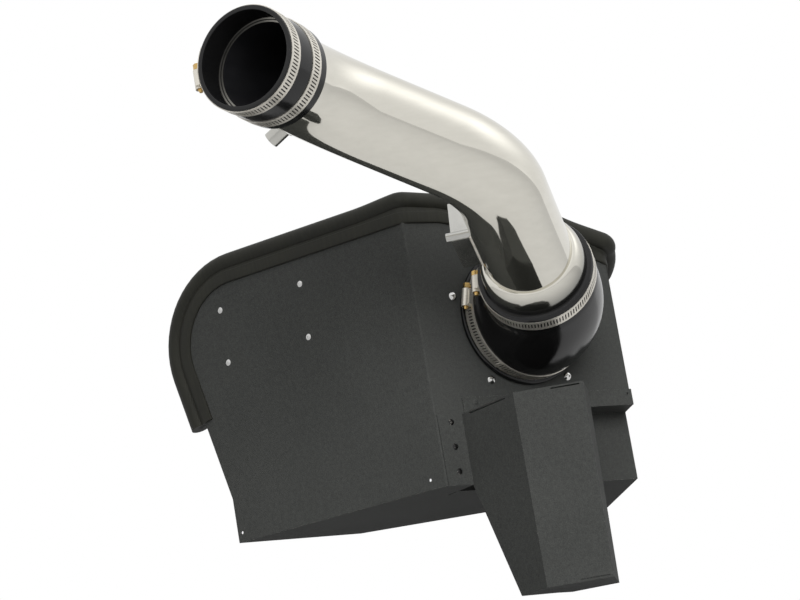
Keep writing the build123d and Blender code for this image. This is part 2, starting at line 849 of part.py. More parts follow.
def clamp_pieces(plane, radius, start, angle):
    """Band, housing and hex screw of one worm drive clamp around a plane's axis."""
    inner = radius + band_gap
    outer = inner + band_thickness
    band = ring(plane, outer, inner, start, band_width)
    seat = outer + clamp_seat_gap
    height = seat + clamp_screw_lift + clamp_screw_radius
    bore_radius = clamp_screw_radius + clamp_screw_clearance
    across = band_width + 2 * clamp_overhang
    length = clamp_housing_length
    half = length / 2
    place = plane * Rot(0, 0, angle) * Pos(0, 0, start + band_width / 2)
    lengthways = Pos(height, 0, 0) * Rot(90, 0, 0)
    base = Pos(seat + clamp_housing_wall, 0, 0) * Box(clamp_base_height, length * clamp_base_share, across)
    barrel = lengthways * Cylinder(bore_radius + clamp_housing_wall, length)
    bore = lengthways * Cylinder(bore_radius, length * 2)
    saddle = Cylinder(seat, across * 2)
    housing = place * (base + barrel - saddle - bore)
    worm = lengthways * Cylinder(clamp_screw_radius, length + 2 * clamp_screw_lift)
    tip_start = half + clamp_screw_lift + clamp_tip_length / 2
    tip_cone = Cone(clamp_tip_radius, clamp_tip_end_radius, clamp_tip_length)
    tip = Pos(height, -tip_start, 0) * Rot(90, 0, 0) * tip_cone
    head_start = half + clamp_screw_lift
    head_plane = Plane(origin=(height, head_start, 0), x_dir=(0, 0, 1), z_dir=(0, 1, 0))
    head_outline = RegularPolygon(clamp_head_flats / 2, 6, major_radius=False)
    head = extrude(head_plane * head_outline, clamp_head_length)
    slot_box = Box(clamp_head_flats * 2, clamp_slot_depth * 2, clamp_slot_width)
    slot = Pos(height, head_start + clamp_head_length, 0) * slot_box
    screw = place * (worm + tip + head - slot)
    return band, housing, screw


def save_clamp(name, plane, radius, start, angle):
    band, housing, screw = clamp_pieces(plane, radius, start, angle)
    save(f"{name}_band", band)
    save(f"{name}_housing", housing)
    save(f"{name}_screw", screw)


def make_adapter():
    """Flange behind the front panel, with a spigot for the elbow and one for the filter."""
    outline = Circle(adapter_flange_radius)
    for x, y in screw_points():
        outline += Pos(x, y) * Circle(adapter_ear_radius)
    outline -= Circle(spigot_radius - spigot_wall)
    flange = extrude(outlet_plane * Pos(0, 0, sheet) * outline, adapter_flange_thickness)
    screw_hole = Circle(screw_radius + screw_clearance)
    length = spigot_out + sheet + adapter_flange_thickness + spigot_in
    spigot = ring(outlet_plane, spigot_radius, spigot_radius - spigot_wall, -spigot_out, length)
    cutters = [
        extrude(outlet_plane * Pos(*point) * screw_hole, 2 * (sheet + adapter_flange_thickness))
        for point in screw_points()
    ]
    return flange + spigot - cutters


def make_adapter_screw(point):
    """Button head socket screw through the front panel and the adapter flange."""
    grip = sheet + adapter_flange_thickness + nut_height + screw_tip_length
    dome_radius = (screw_head_radius**2 + screw_head_height**2) / (2 * screw_head_height)
    dome = Pos(0, 0, dome_radius - screw_head_height) * Sphere(dome_radius)
    head = dome & Pos(0, 0, -screw_head_height / 2) * Cylinder(screw_head_radius, screw_head_height)
    socket_plane = Plane(origin=(0, 0, -screw_head_height))
    socket_outline = RegularPolygon(socket_flats / 2, 6, major_radius=False)
    socket = extrude(socket_plane * socket_outline, socket_depth)
    shank = Pos(0, 0, grip / 2) * Cylinder(screw_radius, grip)
    return outlet_plane * Pos(*point, 0) * (head + shank - socket)


def make_adapter_nut(point):
    """Hex lock nut against the adapter flange."""
    face = sheet + adapter_flange_thickness
    body = extrude(RegularPolygon(nut_flats / 2, 6, major_radius=False), nut_hex_height)
    collar = Pos(0, 0, nut_height / 2) * Cylinder(nut_collar_radius, nut_height)
    bore = Pos(0, 0, nut_height / 2) * Cylinder(screw_radius + nut_bore_clearance, nut_height * 2)
    return outlet_plane * Pos(*point, face) * (body + collar - bore)


def star(outer, depth, offset):
    """Pleat outline: alternate crests and roots."""
    points = []
    for i in range(2 * pleat_count):
        radius = outer - (depth if i % 2 else 0) - offset
        angle = pi * i / pleat_count
        points.append((radius * cos(angle), radius * sin(angle)))
    return make_face(Polyline(*points, close=True))


filter_neck_start = sheet + adapter_flange_thickness + filter_neck_gap
filter_base_start = filter_neck_start + filter_neck_length
filter_media_start = filter_base_start + filter_base_thickness


def make_filter_media():
    """One long pleated sheet closed into a cone."""
    start = filter_media_start - filter_cap_overlap
    low = outlet_plane * Pos(0, 0, start)
    high = outlet_plane * Pos(0, 0, start + filter_length)
    outer = loft(
        [
            low * star(filter_base_pleat_radius, pleat_depth, 0),
            high * star(filter_tip_pleat_radius, pleat_depth, 0),
        ],
        ruled=True,
    )
    inner = loft(
        [
            low * star(filter_base_pleat_radius, pleat_depth, pleat_offset),
            high * star(filter_tip_pleat_radius, pleat_depth, pleat_offset),
        ],
        ruled=True,
    )
    return outer - inner


def filter_cone(low_radius, high_radius, extra=0):
    start = filter_media_start - filter_cap_overlap
    low = outlet_plane * Pos(0, 0, start - extra) * Circle(low_radius)
    high = outlet_plane * Pos(0, 0, start + filter_length + extra) * Circle(high_radius)
    return loft([low, high], ruled=True)


def make_filter_screen():
    """Support cone inside the pleats."""
    inset = pleat_depth + pleat_offset + filter_screen_gap
    low = filter_base_pleat_radius - inset
    high = filter_tip_pleat_radius - inset
    return filter_cone(low, high) - filter_cone(low - filter_screen_wall, high - filter_screen_wall, 0.01)


def make_filter_base():
    """Moulded rubber neck and flange that the pleats are set into."""
    bore = spigot_radius + fit_gap
    neck_length = filter_neck_length + filter_base_fillet
    neck = ring(outlet_plane, bore + filter_wall, bore, filter_neck_start, neck_length)
    inner = filter_base_pleat_radius - pleat_depth - pleat_offset - filter_base_inset
    disc = ring(outlet_plane, filter_base_radius, inner, filter_base_start, filter_base_thickness)
    rims = disc.edges().filter_by(GeomType.CIRCLE)
    disc = fillet([rim for rim in rims if rim.radius > filter_base_pleat_radius], filter_base_fillet)
    groove_wall = Circle(filter_base_pleat_radius + filter_groove_clearance)
    groove_wall -= Circle(inner + filter_groove_inset)
    groove_start = filter_media_start - filter_cap_overlap
    groove = extrude(outlet_plane * Pos(0, 0, groove_start) * groove_wall, filter_cap_overlap * 2)
    return neck + disc - groove


def make_filter_cap():
    """Moulded rubber end cap over the tip of the pleats."""
    start = filter_media_start - filter_cap_overlap + filter_length - filter_cap_overlap
    radius = filter_tip_pleat_radius + filter_cap_rim
    body = extrude(outlet_plane * Pos(0, 0, start) * Circle(radius), filter_cap_thickness)
    rims = sorted(body.edges().filter_by(GeomType.CIRCLE), key=lambda rim: rim.center().Y)
    body = fillet(rims[-1], filter_cap_fillet)
    dish_place = outlet_plane * Pos(0, 0, start + filter_cap_thickness - filter_dish_depth)
    dish = extrude(dish_place * Circle(filter_dish_radius), 2 * filter_dish_depth)
    pocket = extrude(
        outlet_plane
        * Pos(0, 0, start - filter_cap_overlap)
        * Circle(filter_tip_pleat_radius + filter_cap_clearance),
        2 * filter_cap_overlap,
    )
    return body - dish - pocket


# Write every piece
save("filter_box", make_filter_box())
save("recess_pan", make_recess_pan())
save("air_scoop", make_scoop())
save("edge_seal", make_seal())
save("side_bracket", make_side_bracket())
save(
    "bracket_rivets",
    *[
        blind_rivet(left_wall * Pos(x, y, 0) * Rot(180, 0, 0), sheet + bracket_thickness)
        for x, y in left_rivets
    ],
)
save(
    "scoop_rivets",
    *[blind_rivet(front_wall * Pos(x, y, scoop_sheet), sheet + scoop_sheet) for x, y in scoop_rivets],
)
save(
    "pan_rivets",
    *[blind_rivet(front_wall * Pos(x, y, sheet), sheet * 2) for x, y in pan_rivets],
)

save("intake_tube", make_intake_tube())
save("breather_nipple", make_nipple())
save("sensor_pad", make_sensor_pad())
save("throttle_coupling", make_throttle_coupling())
save("elbow_coupling", make_elbow())

throttle_outer = tube_radius + fit_gap + throttle_coupling_wall
save_clamp("throttle_clamp_front", mouth_plane, throttle_outer, throttle_clamp_front_start, 267)
save_clamp("throttle_clamp_rear", mouth_plane, throttle_outer, throttle_clamp_rear_start, 320)
elbow_top_outer = bell_radius + fit_gap + elbow_wall_top
save_clamp("elbow_clamp_upper", bell_plane, elbow_top_outer, elbow_clamp_upper_start, 273)
elbow_bottom_outer = spigot_radius + fit_gap + elbow_wall_bottom
lower_start = -(elbow_foot_gap + elbow_bead_width + clamp_bead_gap + band_width)
save_clamp("elbow_clamp_lower", outlet_plane, elbow_bottom_outer, lower_start, 285)

save("outlet_adapter", make_adapter())
save("adapter_screws", *[make_adapter_screw(point) for point in screw_points()])
save("adapter_nuts", *[make_adapter_nut(point) for point in screw_points()])

save("filter_base", make_filter_base())
save("filter_media", make_filter_media())
save("filter_screen", make_filter_screen())
save("filter_cap", make_filter_cap())
filter_clamp_start = filter_neck_start + filter_clamp_setback
filter_neck_outer = spigot_radius + fit_gap + filter_wall
save_clamp("filter_clamp", outlet_plane, filter_neck_outer, filter_clamp_start, 126)
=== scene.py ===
from math import copysign, cos, degrees, pi, radians, sin, sqrt, tan

import bmesh
import bpy
from mathutils import Matrix, Quaternion, Vector


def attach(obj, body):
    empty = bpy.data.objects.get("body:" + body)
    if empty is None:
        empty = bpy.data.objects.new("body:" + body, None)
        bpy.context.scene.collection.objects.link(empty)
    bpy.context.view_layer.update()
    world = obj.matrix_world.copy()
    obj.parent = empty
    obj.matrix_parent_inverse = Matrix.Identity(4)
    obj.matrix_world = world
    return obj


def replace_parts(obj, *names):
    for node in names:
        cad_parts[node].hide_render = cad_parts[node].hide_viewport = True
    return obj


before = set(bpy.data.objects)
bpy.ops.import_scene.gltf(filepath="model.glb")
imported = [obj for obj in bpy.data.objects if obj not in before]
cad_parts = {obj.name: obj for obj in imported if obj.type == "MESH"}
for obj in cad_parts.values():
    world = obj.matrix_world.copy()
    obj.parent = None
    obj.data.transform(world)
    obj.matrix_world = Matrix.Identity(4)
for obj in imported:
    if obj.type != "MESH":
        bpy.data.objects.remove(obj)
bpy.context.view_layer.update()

# Sizes are in millimetres, as in the CAD source, and a piece is scaled to metres when it is done.
MM = 0.001
UP = Vector((0, 0, 1))

# Intake tube
mouth = Vector((-436.4, -375.6, 349.8))
corner_1 = Vector((-323.7, -310.1, 336.3))
corner_2 = Vector((-166.4, -337.6, 257.5))
elbow_corner = Vector((0, -157.2, 171))
outlet = Vector((0, -100, 171))
bend_radii = (124.0, 95.0)
tube_radius = 44.45
tube_wall = 1.65
tube_insertion = 31.5
bell_setback = 97.5
bell_radius = 53.1
bell_length = 23.0
bell_tail = 35.0
nipple_distance = 128.0
nipple_angle = 243.0
nipple_radius = 7.95
nipple_wall = 1.5
nipple_collar_radius = 10.5
pad_distance = 57.7
pad_length = 52.0
pad_low = -4.0
pad_high = 40.0
pad_bore_radius = 11.5
pad_bore_depth = 50.0
nipple_bore_depth = 30.0
tube_end_thickness = 0.5
bell_steps = 14
tube_segments = 128
pad_weld_width = 3.0
pad_weld_height = 2.8
pad_weld_step = 2.3
pad_weld_points = 8
nipple_weld_size = 1.7
nipple_weld_step = 1.4
nipple_weld_points = 48
weld_drop_share = 0.62
weld_drop_segments = (14, 8)
drill_segments = 48

# Rubber couplings
throttle_coupling_length = 62.5
throttle_outer = 49.6
throttle_bore = 44.5
throttle_neck = 45.0
throttle_neck_length = 31.5
skin_gap = 0.02
throttle_rim = 1.4
throttle_lip = (0.6, 0.8)
throttle_lip_middle = (0.15, 0.25)
throttle_chamfer = 0.5
rim_steps = 6
elbow_mouth_step = 1.0
elbow_bead_root = 0.4
elbow_bead_steps = 8
elbow_mouth = 28.0
elbow_top_outer = 58.65
elbow_top_bore = 53.15
elbow_foot_outer = 68.05
elbow_foot_bore = 63.55
elbow_straight = 20.0
elbow_foot_gap = 1.0
elbow_bead = 4.0
elbow_bead_width = 5.0
elbow_bead_side = 0.55
elbow_bead_crown = 0.6

# Filter box walls and the seal on their upper edges
sheet = 1.5
half_front = 122.25
front_y = -100.0
corner_angle = 114.0
box_height = 285.0
left_length = 268.5
right_length = 230.0
upright_height = 47.0
rear_rake = 0.235
left_corner_radius = 76.0
right_corner_radius = 45.0
right_wall_height = 213.0
level_top = 44.0
knee_setback = 54.5
knee_height = 260.5
right_fold_height = 236.0
right_fall_run = 50.0
edge_bend = 30.0
seal_end_height = 134.0
seal_fold_bend = 13.0
seal_step = 5.0
seal_turn_step = 6.0
seal_bulb_segments = 40
seal_leg_segments = 24
seal_leg_squareness = 0.35
seal_bulb_radius = 9.5
seal_rise = 12.0
seal_lean = 4.5
seal_leg = 11.0
seal_cap = 2.0
seal_right_roll = 13.0
seal_right_reach = 75.0
seal_left_lift = 2.5
seal_left_reach = 60.0
seal_leg_half_width = 3.15

# Worm drive clamps
band_width = 14.0
band_thickness = 0.7
slot_pitch = 3.2
slot_length = 8.4
slot_width = 1.35
slot_slant = 1.1
slot_corner = 0.45
band_gap = 0.05
tail_gap = 0.03
tail_length = 26
throttle_front_start = 2.0
throttle_rear_start = 37.5
elbow_upper_start = 34.5
elbow_lower_setback = 0.9
filter_start = 10.5

# Points this close together are merged, and faces this flat, in degrees, are made one
merge_gap = 0.01
strip_merge_gap = 0.02
cad_merge_gap = 0.002
flat_angle = 0.4

# Camera, with its spot in metres, lamps and floor
view_azimuth = 32.5
view_rise = 12.5
view_roll = 9.66
view_spot = (-1.73111, -2.59680, -0.46286)
lens_length = 135
sensor_width = 36
floor_height = -150.0
floor_half_size = 4000
floor_whitening = 0.6
plain_light = 0.14
mirror_level = 0.88
lamp_spread = 70

leg_1 = (corner_1 - mouth).normalized()
leg_3 = (elbow_corner - corner_2).normalized()
bell_start = elbow_corner - leg_3 * bell_setback
tube_route = [mouth + leg_1 * tube_insertion, corner_1, corner_2, bell_start]


# Places
def placed(origin, x_way, z_way):
    """A place whose X and Z point given ways."""
    turn = Matrix((x_way, z_way.cross(x_way), z_way)).transposed().to_4x4()
    return Matrix.Translation(origin) @ turn


def across(origin, way):
    """A place across an axis, with its X as near to upwards as it can be."""
    return placed(origin, (UP - way * UP.dot(way)).normalized(), way)


def moved(x=0.0, y=0.0, z=0.0):
    return Matrix.Translation((x, y, z))


def eased(share):
    """A share from 0 to 1 that leaves 0 and reaches 1 gently."""
    return share * share * (3 - 2 * share)


mouth_place = across(mouth, leg_1)
bell_place = across(bell_start, leg_3)
outlet_place = placed(outlet, UP, Vector((0, 1, 0)))


def centre_line(points, radii, degrees_per_step=2.0):
    """Places along a bent line: both ends of each straight and close steps round each bend."""
    way = (points[1] - points[0]).normalized()
    turn = way.to_track_quat("Z", "Y")
    places = [(points[0], turn)]
    for corner, after, radius in zip(points[1:-1], points[2:], radii):
        next_way = (after - corner).normalized()
        angle = way.angle(next_way)
        hinge = way.cross(next_way).normalized()
        start = corner - way * radius * tan(angle / 2)
        centre = start + hinge.cross(way) * radius
        steps = max(2, round(degrees(angle) / degrees_per_step))
        for i in range(steps + 1):
            part = Quaternion(hinge, angle * i / steps)
            places.append((centre + part @ (start - centre), part @ turn))
        turn = Quaternion(hinge, angle) @ turn
        way = next_way
    places.append((points[-1], turn))
    return [Matrix.Translation(spot) @ turned.to_matrix().to_4x4() for spot, turned in places]


def hoop(place, radius, along=0.0):
    """A circle's place and size as one matrix."""
    return place @ moved(z=along) @ Matrix.Diagonal((radius, radius, 1, 1))


# Pieces
def dressed(mesh, name, finish, crease=35):
    """Gives a mesh its finish and puts it on the body."""
    for layer in finish if isinstance(finish, tuple) else (finish,):
        mesh.materials.append(layer)
    for face in mesh.polygons:
        face.use_smooth = True
    mesh.set_sharp_from_angle(angle=radians(crease))
    piece = bpy.data.objects.new(name, mesh)
    bpy.context.scene.collection.objects.link(piece)
    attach(piece, "root")
    return piece


def finished_mesh(bm, name):
    """A finished mesh in metres from a shape drawn in millimetres."""
    bm.transform(Matrix.Scale(MM, 4))
    mesh = bpy.data.meshes.new(name)
    bm.to_mesh(mesh)
    bm.free()
    return mesh


def walled(hoops, segments=96, lining=()):
    """A closed wall: one circle drawn from hoop to hoop and back. Steps in the lining get its finish."""
    bm = bmesh.new()
    verts = bmesh.ops.create_circle(bm, segments=segments, radius=1, matrix=hoops[0])["verts"]
    loop = list({edge for vert in verts for edge in vert.link_edges})
    place = hoops[0]
    for step, after in enumerate(hoops[1:] + hoops[:1]):
        drawn = bmesh.ops.extrude_edge_only(bm, edges=loop)["geom"]
        for part in drawn:
            if isinstance(part, bmesh.types.BMFace):
                part.material_index = int(step in lining)
        verts = {part for part in drawn if isinstance(part, bmesh.types.BMVert)}
        bmesh.ops.transform(bm, matrix=after @ place.inverted(), verts=list(verts))
        edges = [part for part in drawn if isinstance(part, bmesh.types.BMEdge)]
        loop = [edge for edge in edges if all(vert in verts for vert in edge.verts)]
        place = after
    bmesh.ops.remove_doubles(bm, verts=bm.verts, dist=merge_gap)
    bmesh.ops.recalc_face_normals(bm, faces=bm.faces)
    return bm


def drawn(sections, segments, squareness=1.0):
    """A closed bar: one section, round or squared off, drawn from place to place."""
    bm = bmesh.new()
    verts = bmesh.ops.create_circle(bm, cap_ends=True, segments=segments, radius=1)["verts"]
    for vert in verts:
        vert.co.x = copysign(abs(vert.co.x) ** squareness, vert.co.x)
        vert.co.y = copysign(abs(vert.co.y) ** squareness, vert.co.y)
    bmesh.ops.transform(bm, matrix=sections[0], verts=verts)
    loop = bm.edges[:]
    for place, after in zip(sections, sections[1:]):
        pulled = bmesh.ops.extrude_edge_only(bm, edges=loop)["geom"]
        verts = {part for part in pulled if isinstance(part, bmesh.types.BMVert)}
        bmesh.ops.transform(bm, matrix=after @ place.inverted(), verts=list(verts))
        edges = [part for part in pulled if isinstance(part, bmesh.types.BMEdge)]
        loop = [edge for edge in edges if all(vert in verts for vert in edge.verts)]
    bmesh.ops.holes_fill(bm, edges=loop, sides=0)
    bmesh.ops.recalc_face_normals(bm, faces=bm.faces)
    return bm


def turned(place, profile, segments=96):
    """A turned piece from (distance along the axis, radius) pairs that go round its wall."""
    return walled([hoop(place, radius, along) for along, radius in profile], segments)


def softened(node, edge_radius, steps=2, corner=30):
    """A copy of a CAD node's mesh, merged, with its sharp edges rounded."""
    bm = bmesh.new()
    bm.from_mesh(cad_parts[node].data)
    bmesh.ops.remove_doubles(bm, verts=bm.verts, dist=cad_merge_gap * MM)
    bmesh.ops.dissolve_limit(bm, angle_limit=radians(flat_angle), verts=bm.verts, edges=bm.edges)
    # The rounded edges' faces are marked here for the powder coat's painted edge highlight.
    worn = bm.faces.layers.float.new("worn")
    sharp = [edge for edge in bm.edges if edge.is_manifold and edge.calc_face_angle() > radians(corner)]
    rounded = bmesh.ops.bevel(
        bm,
        geom=sharp,
        offset=edge_radius * MM,
        offset_type="OFFSET",
        segments=steps,
        profile=0.5,
        affect="EDGES",
        clamp_overlap=True,
        material=-1,
    )
    for face in rounded["faces"]:
        face[worn] = 1.0
    mesh = bpy.data.meshes.new(node)
    bm.to_mesh(mesh)
    bm.free()
    return mesh


def soften_node(node, finish, edge_radius, steps=2):
    """Shows a soft-edged copy of a node in its place."""
    piece = dressed(softened(node, edge_radius, steps), node + "_soft", finish, crease=60)
    weighted = piece.modifiers.new("flats", "WEIGHTED_NORMAL")
    weighted.keep_sharp = True
    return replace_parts(piece, node)


def finish_node(node, finish):
    """Keeps a CAD node's own mesh and gives it a finish."""
    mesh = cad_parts[node].data
    mesh.materials.clear()
    mesh.materials.append(finish)


# Finishes
class Value:
    """A number or colour that varies over a surface, used in ordinary arithmetic."""

    def __init__(self, finish, socket):
        self.finish = finish
        self.socket = socket

    def maths(self, operation, *values):
        sockets = dict(enumerate(values))
        return self.finish.node("Math", {"operation": operation}, sockets, 0)

    def __add__(self, other):
        return self.maths("ADD", self, other)

    def __radd__(self, other):
        return self.maths("ADD", other, self)

    def __sub__(self, other):
        return self.maths("SUBTRACT", self, other)

    def __rsub__(self, other):
        return self.maths("SUBTRACT", other, self)

    def __mul__(self, other):
        return self.maths("MULTIPLY", self, other)

    def __rmul__(self, other):
        return self.maths("MULTIPLY", other, self)

    def __truediv__(self, other):
        return self.maths("DIVIDE", self, other)

    def __gt__(self, other):
        return self.maths("GREATER_THAN", self, other)

    def __lt__(self, other):
        return self.maths("LESS_THAN", self, other)

    def wave(self):
        return self.maths("SINE", self)

    def size(self):
        return self.maths("ABSOLUTE", self)

    def larger(self, other):
        return self.maths("MAXIMUM", self, other)

    def smaller(self, other):
        return self.maths("MINIMUM", self, other)

    def power(self, exponent):
        return self.maths("POWER", self, exponent)


class Shading:
    """The shader nodes of a material or of the world."""

    def __init__(self, owner):
        owner.use_nodes = True
        self.tree = owner.node_tree

    def node(self, kind, settings, sockets, output):
        """Adds one node: its settings first, then its values and links. Gives one output."""
        made = self.tree.nodes.new("ShaderNode" + kind)
        for key, value in settings.items():
            if key == "stops":
                self.set_stops(made.color_ramp, value)
            else:
                setattr(made, key, value)
        for key, value in sockets.items():
            if isinstance(value, Value):
                self.tree.links.new(value.socket, made.inputs[key])
            else:
                made.inputs[key].default_value = value
        return Value(self, made.outputs[output]) if output is not None else None

    def set_stops(self, ramp, stops):
        while len(ramp.elements) < len(stops):
            ramp.elements.new(1.0)
        for element, (position, colour) in zip(ramp.elements, stops):
            element.position = position
            element.color = colour


class Finish(Shading):
    """A named surface: its shader, and what varies it."""

    def __init__(self, name, **constants):
        self.material = bpy.data.materials.new(name)
        super().__init__(self.material)
        self.shader = self.tree.nodes["Principled BSDF"]
        for key, value in constants.items():
            self.shader.inputs[key.replace("_", " ")].default_value = value

    def split(self, spot):
        """The three parts of a position."""
        return [self.node("SeparateXYZ", {}, {"Vector": spot}, axis) for axis in "XYZ"]

    def place_on_piece(self, stretch=(1, 1, 1)):
        """Position on the piece, in metres, stretched along each axis."""
        spot = self.node("TexCoord", {}, {}, "Object")
        return self.node("Mapping", {}, {"Vector": spot, "Scale": stretch}, "Vector")

    def noise(self, spot, scale, detail=2.0, roughness=0.5):
        sockets = {"Vector": spot, "Scale": scale, "Detail": detail, "Roughness": roughness}
        return self.node("TexNoise", {}, sockets, "Fac")

    def blend(self, share, low, high):
        """A colour between two others."""
        settings = {"data_type": "RGBA"}
        mix = self.node("Mix", settings, {"Factor": share}, 2)
        for socket, value in zip(mix.socket.node.inputs[6:8], (low, high)):
            if isinstance(value, Value):
                self.tree.links.new(value.socket, socket)
            else:
                socket.default_value = value
        return mix

    def drive(self, socket, value):
        self.tree.links.new(value.socket, self.shader.inputs[socket])

    def raise_surface(self, height, depth, strength=1.0):
        """Small relief, of a depth in metres."""
        sockets = {"Height": height, "Distance": depth, "Strength": strength}
        self.drive("Normal", self.node("Bump", {}, sockets, "Normal"))


def tone(red, green, blue):
    """A shader colour from everyday 0 to 255 values."""
    parts = [part / 255 for part in (red, green, blue)]
    linear = [part / 12.92 if part < 0.04045 else ((part + 0.055) / 1.055) ** 2.4 for part in parts]
    return (*linear, 1.0)


def powder_coat():
    """Black powder coat on sheet steel: a fine even orange peel, with painted highlights along its rounded
    edges.
    """
    coat = Finish("black_powder_coat", Specular_IOR_Level=0.01)
    spot = coat.place_on_piece()
    grain = coat.noise(spot, 900, detail=1.0)
    clumps = coat.noise(spot, 260, detail=2.0)
    patches = coat.noise(spot, 7, detail=3.0)
    peel = grain * 0.65 + clumps * 0.35
    coat.raise_surface(peel, 0.0005, 0.45)
    shade = peel * 0.75 + patches * 0.25
    stops = [(0.3, tone(53, 54, 53)), (0.7, tone(71, 72, 70))]
    black = coat.node("ValToRGB", {"stops": stops}, {"Fac": shade}, "Color")
    # Painted highlight: the rounded edges are painted pale where they catch light, broken up by noise.
    corners = coat.node("Attribute", {"attribute_name": "worn"}, {}, "Fac")
    highlight_breakup = ((coat.noise(spot, 55, detail=4.0, roughness=0.7) - 0.38) * 9).larger(0).smaller(1)
    coat.drive("Base Color", coat.blend(corners * highlight_breakup * 0.8, black, tone(196, 194, 186)))
    coat.drive("Roughness", grain * 0.2 + 0.42)
    return coat.material


def seal_rubber():
    """Matt extruded rubber, dusty, with faint creases across its length."""
    rubber = Finish("seal_rubber", Specular_IOR_Level=0.22)
    creases = rubber.noise(rubber.place_on_piece((1, 1, 0.06)), 300, detail=2.0)
    dust = rubber.noise(rubber.place_on_piece(), 38, detail=5.0, roughness=0.65)
    skin = rubber.noise(rubber.place_on_piece(), 1400, detail=1.0)
    rubber.raise_surface(creases * 0.8 + skin * 0.2, 0.0004, 0.55)
    rubber.drive("Base Color", rubber.blend(dust * 0.6 + creases * 0.4, tone(15, 15, 13), tone(44, 44, 38)))
    rubber.drive("Roughness", dust * 0.25 + 0.42)
    return rubber.material


def coupling_rubber():
    """Glossy black silicone, faintly uneven, with wiped smears."""
    rubber = Finish("coupling_rubber", Specular_IOR_Level=0.35)
    spot = rubber.place_on_piece()
    swell = rubber.noise(spot, 22, detail=2.0)
    skin = rubber.noise(spot, 700, detail=2.0)
    smears = rubber.noise(rubber.place_on_piece((1, 1, 2.5)), 30, detail=5.0, roughness=0.7)
    rubber.raise_surface(swell * 0.93 + skin * 0.07, 0.0009, 0.35)
    rubber.drive("Base Color", rubber.blend(smears, tone(13, 13, 14), tone(22, 22, 22)))
    rubber.drive("Roughness", smears * 0.16 + 0.08)
    return rubber.material


def polished_alloy():
    """Mirror polished aluminium with a faint swell and a fine haze, duller on the bell, where its colour is
    painted darker grey as a painted reflection of the dark parts beside it.
    """
    alloy = Finish("polished_alloy", Metallic=1.0)
    spot = alloy.place_on_piece()
    swell = alloy.noise(spot, 16, detail=1.5)
    haze = alloy.noise(alloy.place_on_piece((1, 2, 4)), 45, detail=4.0)
    alloy.raise_surface(swell, 0.0011, 0.3)
    polished = alloy.blend(haze, tone(216, 213, 203), tone(228, 225, 215))
    x, y, z = alloy.split(spot)
    down_leg = x * leg_3.x + y * leg_3.y + z * leg_3.z - bell_start.dot(leg_3) * MM
    shoulder = (down_leg / (bell_length * MM)).larger(0).smaller(1)
    # Painted reflection: the bell's colour is darkened to grey, standing in for the dark parts it mirrors.
    alloy.drive("Base Color", alloy.blend(shoulder, polished, tone(128, 128, 124)))
    alloy.drive("Roughness", haze * 0.05 + shoulder * 0.12 + 0.04)
    return alloy.material


def tube_lining():
    """The tube's unpolished inside, dull, its colour painted near black as painted shade inside the bore,
    and blotched by a film of dust.
    """
    lining = Finish("tube_lining", Metallic=0.2, Specular_IOR_Level=0.2)
    film = lining.noise(lining.place_on_piece((1, 1, 3)), 40, detail=4.0)
    grain = lining.noise(lining.place_on_piece(), 500, detail=2.0)
    lining.raise_surface(grain, 0.0002, 0.3)
    # Painted shade: the inside is painted near black, standing in for the shade in the bore.
    lining.drive("Base Color", lining.blend(film, tone(20, 20, 22), tone(38, 38, 40)))
    lining.drive("Roughness", film * 0.2 + 0.5)
    return lining.material


def machined_alloy(name, low, high, roughness):
    """Machined and lightly polished aluminium, with fine cutter marks."""
    alloy = Finish(name, Metallic=1.0)
    marks = alloy.noise(alloy.place_on_piece((1, 1, 14)), 160, detail=2.0)
    stain = alloy.noise(alloy.place_on_piece(), 50, detail=4.0)
    alloy.raise_surface(marks, 0.0002, 0.3)
    alloy.drive("Base Color", alloy.blend(stain, low, high))
    alloy.drive("Roughness", marks * 0.12 + stain * 0.1 + roughness)
    return alloy.material


def weld_metal():
    """Bright rippled weld with a straw tint in places."""
    weld = Finish("weld_bead", Metallic=1.0)
    ripple = weld.noise(weld.place_on_piece(), 420, detail=2.0)
    tint = weld.noise(weld.place_on_piece(), 90, detail=2.0)
    weld.raise_surface(ripple, 0.0004, 0.5)
    weld.drive("Base Color", weld.blend(tint, tone(186, 180, 168), tone(220, 216, 208)))
    weld.drive("Roughness", ripple * 0.2 + 0.14)
    return weld.material


def brushed_steel(name, low, high, roughness, stretch, bright=1.0):
    """Rolled stainless strip: fine drawn lines and a slight warmth."""
    steel = Finish(name, Metallic=bright)
    lines = steel.noise(steel.place_on_piece(stretch), 240, detail=3.0)
    stain = steel.noise(steel.place_on_piece(), 60, detail=3.0)
    steel.raise_surface(lines, 0.0002, 0.35)
    steel.drive("Base Color", steel.blend(stain, low, high))
    steel.drive("Roughness", lines * 0.16 + roughness)
    return steel.material


def zinc_plate(name, low, high):
    """Zinc plate, slightly blotched, with fine scratches."""
    zinc = Finish(name, Metallic=1.0)
    blotch = zinc.noise(zinc.place_on_piece(), 210, detail=3.0)
    scratch = zinc.noise(zinc.place_on_piece((1, 12, 1)), 320, detail=2.0)
    zinc.raise_surface(scratch, 0.0001, 0.3)
    zinc.drive("Base Color", zinc.blend(blotch, low, high))
    zinc.drive("Roughness", scratch * 0.2 + 0.14)
    return zinc.material


def rivet_paint():
    """Black paint over a blind rivet, worn to bare metal in small patches."""
    paint = Finish("black_rivet")
    wear = paint.noise(paint.place_on_piece(), 520, detail=3.0)
    bare = wear > 0.6
    paint.drive("Base Color", paint.blend(bare, tone(16, 16, 16), tone(150, 148, 142)))
    paint.drive("Metallic", bare)
    paint.drive("Roughness", wear * 0.3 + 0.2)
    paint.raise_surface(wear, 0.0002, 0.4)
    return paint.material


